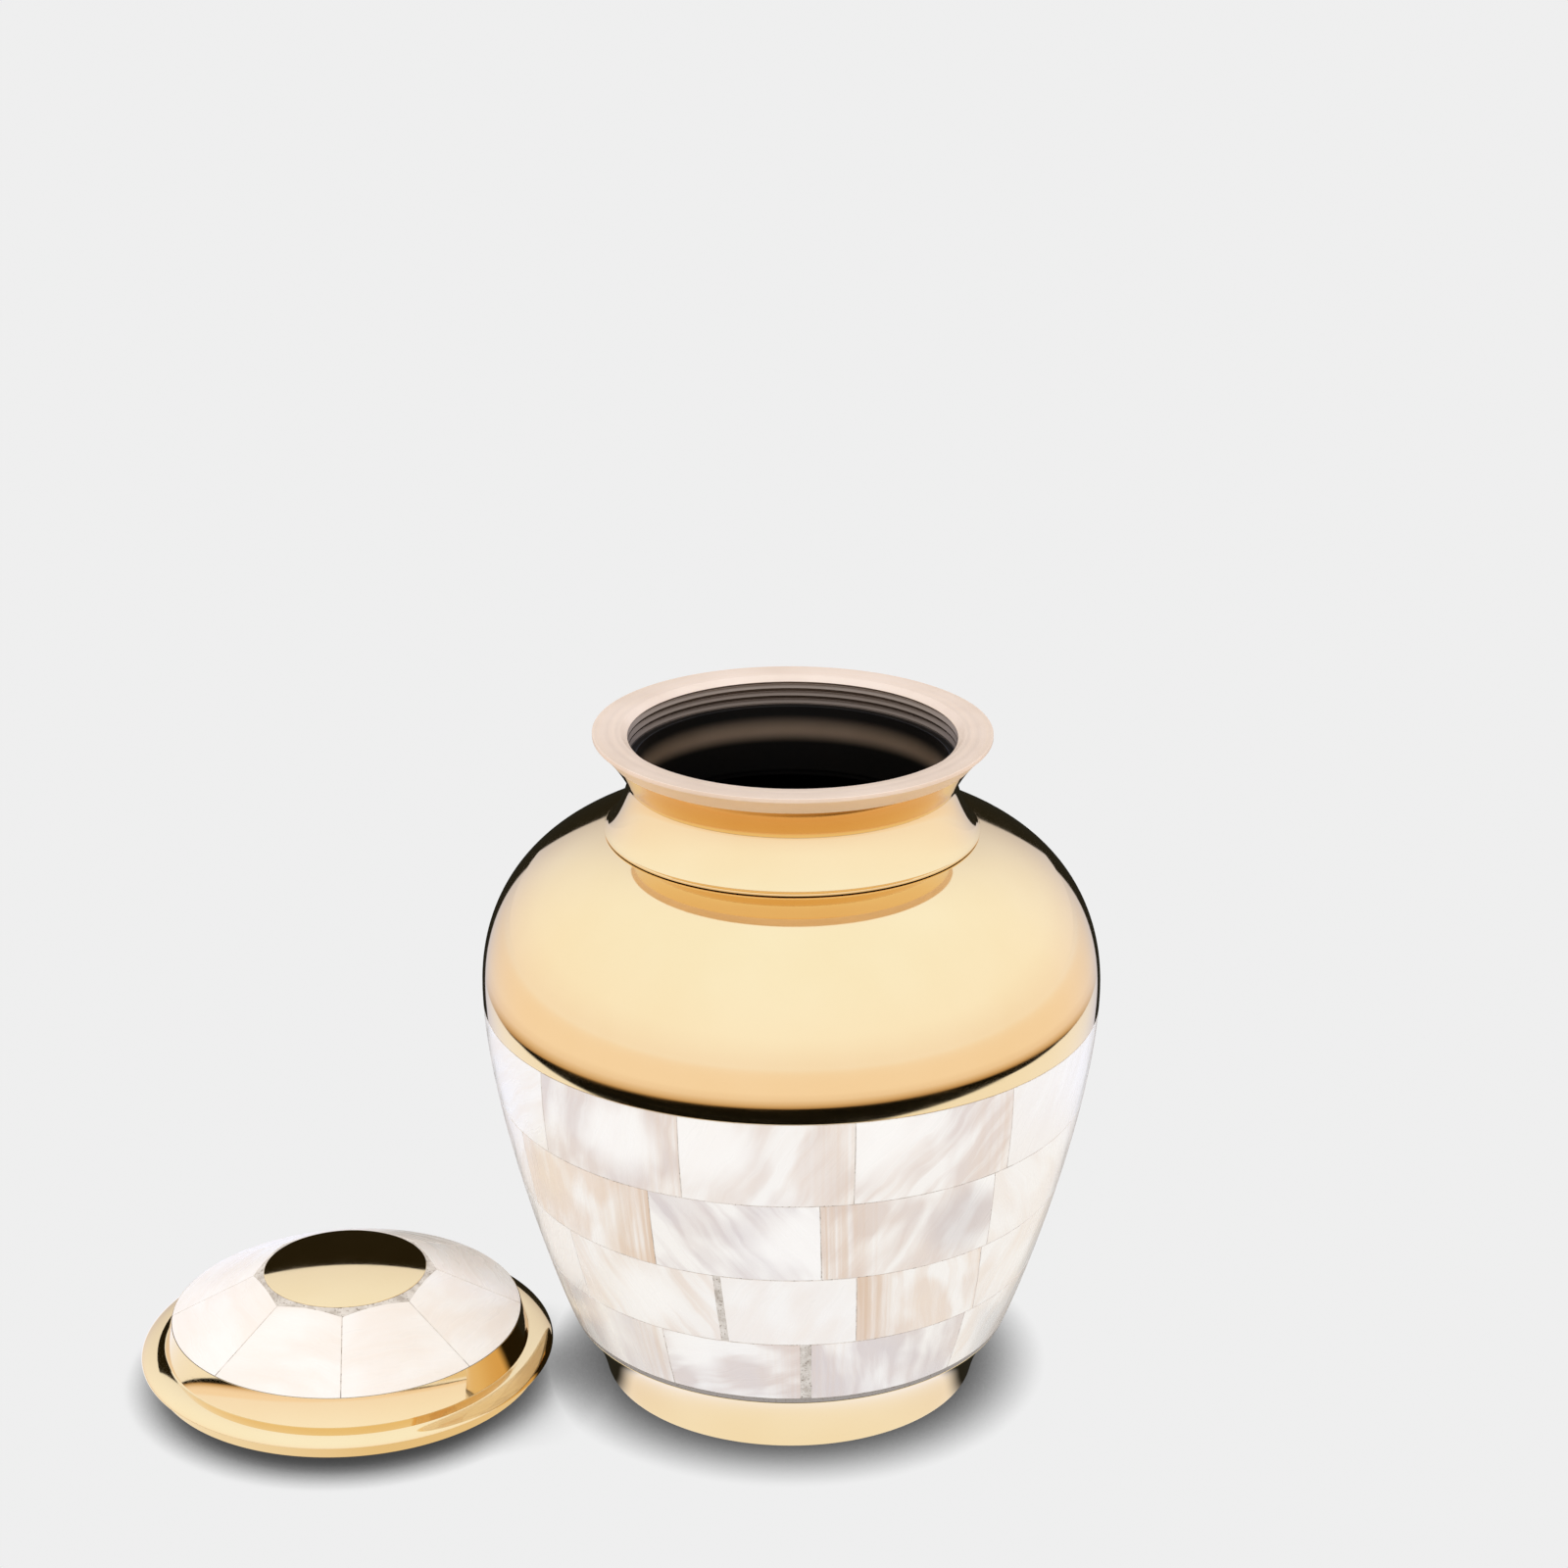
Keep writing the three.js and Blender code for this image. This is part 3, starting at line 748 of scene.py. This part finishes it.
def give_thickness(bm, growth):
    """Turns a tile's face outwards, keeps each corner's place on it in mm, and gives it its thickness.

    The places become the map that the shell's pattern follows.
    """
    bmesh.ops.recalc_face_normals(bm, faces=bm.faces)
    face = next(iter(bm.faces))
    if face.normal.dot(face.calc_center_median()) < 0:
        bmesh.ops.reverse_faces(bm, faces=bm.faces)
    layer = bm.loops.layers.uv.new("growth")
    for face in bm.faces:
        for loop in face.loops:
            loop[layer].uv = growth[loop.vert]
    bmesh.ops.solidify(bm, geom=bm.faces[:], thickness=TILE_THICKNESS * MM)
    bmesh.ops.recalc_face_normals(bm, faces=bm.faces)
    soften_edges(bm, TILE_EDGE)


def body_tile(name, node, seed, course, left, right, gaps):
    """One tile of the body: a patch of the belly swept from joint to joint and skewed to them."""
    low = belly_place(course["bottom"] + JOINT_WIDTH / 2)
    high = belly_place(course["top"] - JOINT_WIDTH / 2)
    width = math.radians((sum(right) - sum(left)) / 2)
    bm = bmesh.new()
    sweep_patch(bm, row(BELLY, low, high, TILE_ROWS), width)
    heights = [vert.co.z / MM for vert in bm.verts]
    bottom, tile_height = min(heights), max(heights) - min(heights)
    middle_radius = sum(vert.co.xy.length for vert in bm.verts) / len(bm.verts) / MM
    tile_width = width * middle_radius
    growth = {}
    for vert in bm.verts:
        radius = vert.co.xy.length / MM
        turn = math.atan2(vert.co.x, -vert.co.y)
        across, up = turn / width, (vert.co.z / MM - bottom) / tile_height
        sides = []
        for (top_azimuth, bottom_azimuth), gap, side in ((left, gaps[0], 1), (right, gaps[1], -1)):
            azimuth = math.radians(bottom_azimuth + (top_azimuth - bottom_azimuth) * up)
            sides.append(azimuth + side * (gap / 2 + hand_cut(vert.co.z / MM, seed + side)) / radius)
        azimuth = sides[0] + (sides[1] - sides[0]) * across
        vert.co = Matrix.Rotation(azimuth - turn, 3, "Z") @ vert.co
        vert.co.z += hand_cut(azimuth * radius, seed + 0.5) * (2 * up - 1) * MM
        growth[vert] = (across * tile_width, up * tile_height)
    give_thickness(bm, growth)
    shell = TILE_LOOKS.get(name.removeprefix("pearl_"), PLAIN_LOOK)
    pearl = pearl_finish(f"{name} shell", seed, tile_width, tile_height, shell)
    link_piece(name, bm, [pearl], [node])


def body_tiles():
    for c, course in enumerate(COURSES, 1):
        joints = joints_round(course)
        for i, (left, right) in enumerate(zip(joints, joints[1:]), 1):
            gaps = [WIDE_JOINTS.get((c, i), JOINT_WIDTH), WIDE_JOINTS.get((c, i + 1), JOINT_WIDTH)]
            names = f"pearl_c{c}_{i:02d}", f"tile_c{c}_{i:02d}"
            body_tile(*names, COURSE_SEEDS * c + i, course, left, right, gaps)


def lid_outside():
    """The lid's outline from the spigot's foot over seat, flange, wall and recess to the disc's middle."""
    thread = SPIGOT_RADIUS - SPIGOT_THREAD_DEPTH
    points = [(SPIGOT_INNER_RADIUS, 0), (thread, 0)]
    for start in SPIGOT_CRESTS:
        points += [(SPIGOT_RADIUS, SPIGOT_HEIGHT * start)]
        points += [(SPIGOT_RADIUS, SPIGOT_HEIGHT * (start + SPIGOT_RIDGE))]
        points += [(thread, SPIGOT_HEIGHT * (start + SPIGOT_FLANK))]
    points += [(thread, SPIGOT_HEIGHT), (SEAT_RADIUS, SPIGOT_HEIGHT), (SEAT_RADIUS, SEAT_TOP)]
    reach, rise = FLANGE_RADIUS - CREASE_RADIUS, CREASE_HEIGHT - FLANGE_EDGE_HEIGHT
    points += quarter_round((CREASE_RADIUS, FLANGE_EDGE_HEIGHT), reach, rise, FLANGE_ROWS)
    points += [(LID_MOSAIC_RADIUS, LID_MOSAIC_HEIGHT), on_slope(LID_MOSAIC_RADIUS, RECESS_DEPTH)]
    points += [on_slope(DISC_RADIUS, RECESS_DEPTH)]
    dome_radius = (DISC_RADIUS**2 + DISC_RISE**2) / (2 * DISC_RISE)
    for i in range(DISC_ROWS + 1):
        radius = DISC_RADIUS * (1 - i / DISC_ROWS)
        drop = dome_radius - math.sqrt(dome_radius**2 - radius**2)
        points.append((radius, DISC_HEIGHT + DISC_RISE - drop))
    return points


def lid_casting():
    """The lid's brass, polished outside and tarnished in its hollow."""
    slope_top, slope_foot = on_slope(DISC_RADIUS, LID_WALL), on_slope(LID_MOSAIC_RADIUS, LID_WALL)
    inside = [(0, slope_top.y + DISC_RISE), slope_top, slope_foot]
    inside += [(CREASE_RADIUS - CREASE_WALL, SEAT_FLOOR), (SPIGOT_INNER_RADIUS, SEAT_FLOOR)]
    inside += [(SPIGOT_INNER_RADIUS, 0)]
    parts, materials = [lid_outside(), inside], [brass, tarnish_and_reflection_brass]
    turned("lid_casting", parts, materials, ["lid_shell"], LID_PLACE)


def lid_bed():
    """The grout under the lid's tiles, and the ring of it round the disc."""
    inner, outer = DISC_RADIUS + LID_BED_INNER_GAP, LID_MOSAIC_RADIUS - LID_BED_OUTER_GAP
    section = [on_slope(inner, BED_BACK_DEPTH), on_slope(outer, BED_BACK_DEPTH)]
    section += [on_slope(outer, BED_DEPTH), on_slope(inner, BED_DEPTH)]
    section += section[:1]
    turned("lid_bed", [section], [grout], ["lid_grout"], LID_PLACE, LID_BED_EDGE)


def cut_away(bm, place, outwards):
    """Cuts off what lies outwards of a plane."""
    geom = bm.verts[:] + bm.edges[:] + bm.faces[:]
    bmesh.ops.bisect_plane(bm, geom=geom, plane_co=place, plane_no=outwards, clear_outer=True)


def lid_tile(number):
    """One wedge of the lid's mosaic, its inner end cut straight across."""
    half = math.pi / LID_TILES
    inner, outer = DISC_RADIUS, LID_MOSAIC_RADIUS - JOINT_WIDTH / 2
    points = [on_slope(inner + (outer - inner) * i / TILE_ROWS) for i in range(TILE_ROWS + 1)]
    bm = bmesh.new()
    sweep_patch(bm, points, 2 * half)
    bmesh.ops.rotate(bm, verts=bm.verts, cent=(0, 0, 0), matrix=Matrix.Rotation(-half, 3, "Z"))
    for side in (-1, 1):
        across = Vector((side * math.cos(half), math.sin(half), 0))
        cut_away(bm, across * -JOINT_WIDTH / 2 * MM, across)
    cut_away(bm, (0, -LID_TILE_CHORD * MM, 0), (0, 1, 0))
    give_thickness(bm, {vert: (vert.co.x / MM + outer / 2, -vert.co.y / MM - inner) for vert in bm.verts})
    azimuth = math.radians(LID_JOINT_AZIMUTH) + (2 * number - 1) * half
    bmesh.ops.rotate(bm, verts=bm.verts, cent=(0, 0, 0), matrix=Matrix.Rotation(azimuth, 3, "Z"))
    bmesh.ops.translate(bm, verts=bm.verts, vec=Vector(LID_PLACE) * MM)
    name = f"lid_pearl_{number}"
    pearl = pearl_finish(f"{name} shell", LID_SEEDS + number, outer, outer - inner, LID_LOOK)
    link_piece(name, bm, [pearl], [f"lid_tile_{number}"])


def studio_camera():
    """The photograph's view."""
    data = bpy.data.cameras.new("studio camera")
    data.sensor_width = SENSOR_WIDTH
    data.lens = LENS
    data.clip_start, data.clip_end = CLIP_RANGE
    camera = bpy.data.objects.new("studio camera", data)
    pitch, yaw, roll = (math.radians(angle) for angle in (CAMERA_PITCH, CAMERA_YAW, CAMERA_ROLL))
    ahead = (math.sin(yaw) * math.cos(pitch), math.cos(yaw) * math.cos(pitch), -math.sin(pitch))
    forward = Vector(ahead)
    level = Vector((math.cos(yaw), -math.sin(yaw), 0))
    above = level.cross(forward)
    right = level * math.cos(roll) + above * math.sin(roll)
    up = above * math.cos(roll) - level * math.sin(roll)
    turn = Matrix((right, up, -forward)).transposed().to_4x4()
    camera.matrix_world = Matrix.Translation(CAMERA_PLACE) @ turn
    bpy.context.scene.collection.objects.link(camera)
    bpy.context.scene.camera = camera


def shining_material(name, only_from_below=False):
    """A material that only shines, its colour still to be linked, and that can be clear from above."""
    material, tree = empty_material(name)
    light = add_node(tree, "ShaderNodeEmission")
    surface = light.outputs[0]
    if only_from_below:
        from_above = add_node(tree, "ShaderNodeNewGeometry").outputs["Backfacing"]
        clear = add_node(tree, "ShaderNodeBsdfTransparent").outputs[0]
        surface = add_node(tree, "ShaderNodeMixShader", {0: from_above, 1: surface, 2: clear}).outputs[0]
    add_node(tree, "ShaderNodeOutputMaterial", {"Surface": surface})
    return material, tree, light


def stage_plane(name, material, half_width, height=0.0):
    bm = bmesh.new()
    bmesh.ops.create_grid(bm, x_segments=2, y_segments=2, size=half_width)
    bmesh.ops.translate(bm, verts=bm.verts, vec=(0, 0, height))
    mesh = bpy.data.meshes.new(name)
    bm.to_mesh(mesh)
    bm.free()
    mesh.materials.append(material)
    plane = bpy.data.objects.new(name, mesh)
    bpy.context.scene.collection.objects.link(plane)
    return plane


def leave_to_mirrors(plane):
    """Hides a plane from all but what polished brass mirrors."""
    plane.visible_camera = False
    plane.visible_diffuse = False
    plane.visible_transmission = False
    plane.visible_shadow = False


def studio_floor():
    """The pale floor: even light grey, with a tight soft shadow where the urn and the lid stand."""
    material, tree, light = shining_material("pale floor")
    near_urn = rising(tree, split(tree, object_coordinates(tree))[0], *SHADOW_CHANGE)
    lid_reach, urn_reach = SHADOW_REACH
    reach = math_node(tree, "MULTIPLY_ADD", near_urn, urn_reach - lid_reach, lid_reach)
    openness = add_node(tree, "ShaderNodeAmbientOcclusion", {"Distance": reach}, samples=SHADOW_SAMPLES)
    tree.links.new(grey_ramp(tree, openness.outputs["AO"], SHADOW_LIGHT), light.inputs["Color"])
    floor = stage_plane("floor", material, STAGE_HALF_WIDTH)
    floor.visible_glossy = False


def dark_arch(tree, direction):
    """How far inside the dark arch at the back of the room a direction points, and how near it, 0 to 1."""
    across, back, up = split(tree, direction)
    across = math_node(tree, "DIVIDE", across, ARCH_SIZE[0])
    up = math_node(tree, "DIVIDE", math_node(tree, "MAXIMUM", up, 0.0), ARCH_SIZE[1])
    flat = add_node(tree, "ShaderNodeCombineXYZ", {0: across, 1: up})
    front = math_node(tree, "MAXIMUM", math_node(tree, "MULTIPLY", back, -1.0), 0.0)
    reach = math_node(tree, "ADD", length_of(tree, flat.outputs[0]), front)
    reach = math_node(tree, "DIVIDE", reach, math_node(tree, "MAXIMUM", back, 0.01))
    inside = rising(tree, reach, *ARCH_EDGE)
    near = rising(tree, math_node(tree, "DIVIDE", 1.0, reach), *NEARNESS)
    return inside, near


def dark_aisle(tree, colour, sideways, back):
    """Lays the dark aisle and the dimmer floor beside it over the colour of the mirrored floor."""
    half_width, spread = DARK_AISLE
    slope = math_node(tree, "SUBTRACT", sideways, half_width)
    slope = math_node(tree, "DIVIDE", slope, math_node(tree, "MAXIMUM", back, 0.002))
    slope = math_node(tree, "MAXIMUM", slope, 0.01)
    near = rising(tree, math_node(tree, "DIVIDE", spread, slope), *NEARNESS)
    near = math_node(tree, "MULTIPLY", near, rising(tree, back, *AISLE_DIMMING))
    colour = mix_colours(tree, near, colour, (*DIM, 1))
    in_aisle = rising(tree, slope, spread + AISLE_EDGE[0], spread + AISLE_EDGE[1])
    in_aisle = math_node(tree, "MULTIPLY", in_aisle, rising(tree, back, *AISLE_START))
    return mix_colours(tree, in_aisle, colour, (*DARK, 1))


def mirrored_floor():
    """What polished brass mirrors below the horizon: the bright table, its dark edge and the warm floor."""
    material, tree, light = shining_material("mirrored floor")
    coordinates = object_coordinates(tree)
    radius = distance_from(tree, coordinates, RINGS_CENTRE)
    stops = [(place / RINGS_SPAN, colour) for place, colour in RINGS]
    rings = ramp(tree, math_node(tree, "DIVIDE", radius, RINGS_SPAN), stops)
    colour = mix_colours(tree, rising(tree, radius, *HORIZON_REACH), rings, (*HORIZON_TONE, 1))
    table = distance_from(tree, coordinates, TABLE_CENTRE)
    on_table = rising(tree, table, TABLE_RADIUS + TABLE_EDGE[0], TABLE_RADIUS + TABLE_EDGE[1])
    colour = mix_colours(tree, on_table, colour, (*TABLE_TONE, 1))
    across, back, _ = split(tree, coordinates)
    sideways = math_node(tree, "ABSOLUTE", across)
    # Painted shadow: darker gold on the mirrored floor beside the urn's foot.
    beside = rising(tree, sideways, *FOOT_SHADOW_SIDES)
    beside = math_node(tree, "MULTIPLY", beside, rising(tree, radius, *FOOT_SHADOW_REACH))
    colour = mix_colours(tree, beside, colour, (*FOOT_SHADOW_TONE, 1))
    colour = dark_aisle(tree, colour, sideways, back)
    tree.links.new(multiplied(tree, colour, MIRRORED_LIGHT), light.inputs["Color"])
    plane = stage_plane("mirrored floor", material, STAGE_HALF_WIDTH, MIRRORED_FLOOR_HEIGHT)
    leave_to_mirrors(plane)


def card_behind_lid():
    """A black card lying in the air behind the lid, seen only by its mirrors and only from below."""
    material, _, light = shining_material("black card", only_from_below=True)
    light.inputs["Color"].default_value = (*DARK, 1)
    card = stage_plane("card behind the lid", material, 0.5)
    left, right, front, back, height = LID_CARD
    middle = Matrix.Translation(((left + right) / 2, (front + back) / 2, height))
    size = Matrix.Diagonal((right - left, back - front, 1, 1))
    card.matrix_world = middle @ Matrix.Rotation(math.pi, 4, "X") @ size
    leave_to_mirrors(card)


def studio_light():
    """Even soft light, and the room that brass mirrors: white, warm at the floor, a dark arch behind."""
    world = bpy.data.worlds.new("studio")
    world.use_nodes = True
    tree = world.node_tree
    tree.nodes.clear()
    direction = add_node(tree, "ShaderNodeTexCoord").outputs["Generated"]
    inside, near = dark_arch(tree, direction)
    room = ramp(tree, split(tree, direction)[2], ROOM_TONES)
    room = mix_colours(tree, near, room, (*DIM, 1))
    room = mix_colours(tree, inside, room, (*DARK, 1))
    mirrored = add_node(tree, "ShaderNodeLightPath").outputs["Is Glossy Ray"]
    colour = mix_colours(tree, mirrored, SOFT_LIGHT, multiplied(tree, room, MIRRORED_LIGHT))
    background = add_node(tree, "ShaderNodeBackground", {"Color": colour, "Strength": 1.0})
    add_node(tree, "ShaderNodeOutputWorld", {"Surface": background.outputs[0]})
    bpy.context.scene.world = world
    bpy.context.scene.view_settings.view_transform = "Standard"


studio_camera()
studio_floor()
mirrored_floor()
card_behind_lid()
studio_light()
vessel()
collar()
mosaic_bed()
body_tiles()
lid_casting()
lid_bed()
for number in range(1, LID_TILES + 1):
    lid_tile(number)
